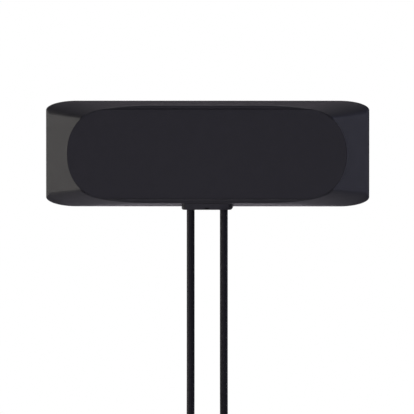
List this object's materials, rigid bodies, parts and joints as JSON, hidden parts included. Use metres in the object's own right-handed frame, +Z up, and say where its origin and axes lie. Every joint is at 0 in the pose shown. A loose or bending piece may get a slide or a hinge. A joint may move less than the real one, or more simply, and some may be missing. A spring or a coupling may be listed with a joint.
{
  "type": "directional wifi antenna",
  "caption": "Flat black moulded wall panel antenna with a sunken front face and two coaxial cables leaving a block at its lower edge.",
  "frame": {"origin": "centre of the flat back face that lies on the wall", "axes": "+X along the housing's width, to the right seen from the front; +Y out of the back face, into the wall; +Z up. The front faces -Y."},
  "size_m": [0.205, 0.031, 0.3185],
  "materials": {
    "housing_plastic": "fine moulded grain, black",
    "block_plastic": "smooth moulded black",
    "seal_rubber": "soft black",
    "screw_steel": "plain zinc-plated",
    "insert_brass": "plain",
    "vent_plastic": "dark grey, porous",
    "sheet_aluminium": "rolled sheet",
    "board_laminate": "green solder mask",
    "track_copper": "tinned copper",
    "pin_gold": "gold-plated",
    "patch_brass": "rolled sheet",
    "nylon": "natural white",
    "cable_jacket": "satin black jacket",
    "tie_rubber": "soft black strap",
    "boot_rubber": "shrunk sleeve",
    "plug_gold": "gold-plated"
  },
  "bodies": {
    "antenna": {"radome": "housing_plastic", "back_plate": "housing_plastic", "rim_seal": "seal_rubber", "back_screws": "screw_steel", "wall_inserts": "insert_brass", "vent_plug": "vent_plastic", "reflector": "sheet_aluminium", "reflector_screws": "screw_steel", "feed_board": "board_laminate", "board_screws": "screw_steel", "feed_track_left": "track_copper", "feed_track_right": "track_copper", "lower_patch_left": "patch_brass", "lower_patch_right": "patch_brass", "upper_patch_left": "patch_brass", "upper_patch_right": "patch_brass", "lower_posts_left": "nylon", "lower_posts_right": "nylon", "upper_posts_left": "nylon", "upper_posts_right": "nylon", "feed_pins": "pin_gold", "cable_block": "block_plastic", "grommet_left": "seal_rubber", "grommet_right": "seal_rubber", "clamp_base": "nylon", "clamp_cap": "nylon", "clamp_screws": "screw_steel", "inner_lead_left": "cable_jacket", "inner_lead_right": "cable_jacket", "lead_core_left": "track_copper", "lead_core_right": "track_copper", "cable_left": "cable_jacket", "cable_right": "cable_jacket", "coil_left": "cable_jacket", "coil_right": "cable_jacket", "coil_tie_left": "tie_rubber", "coil_tie_right": "tie_rubber", "cable_tail_left": "cable_jacket", "cable_tail_right": "cable_jacket", "boot_left": "boot_rubber", "boot_right": "boot_rubber", "ferrule_left": "plug_gold", "ferrule_right": "plug_gold", "plug_body_left": "plug_gold", "plug_body_right": "plug_gold", "plug_ring_left": "screw_steel", "plug_ring_right": "screw_steel", "plug_insulator_left": "nylon", "plug_insulator_right": "nylon", "plug_contact_left": "plug_gold", "plug_contact_right": "plug_gold"},
    "nut_left": {"plug_nut_left": "plug_gold"},
    "nut_right": {"plug_nut_right": "plug_gold"}
  },
  "joints": [
    {"name": "nut_left_spin", "type": "hinge", "parent": "antenna", "child": "nut_left", "pos_m": [-0.0105, -0.0233, -0.285], "axis": [0, 0, 1], "continuous": true},
    {"name": "nut_right_spin", "type": "hinge", "parent": "antenna", "child": "nut_right", "pos_m": [0.0105, -0.0077, -0.285], "axis": [0, 0, 1], "continuous": true}
  ]
}
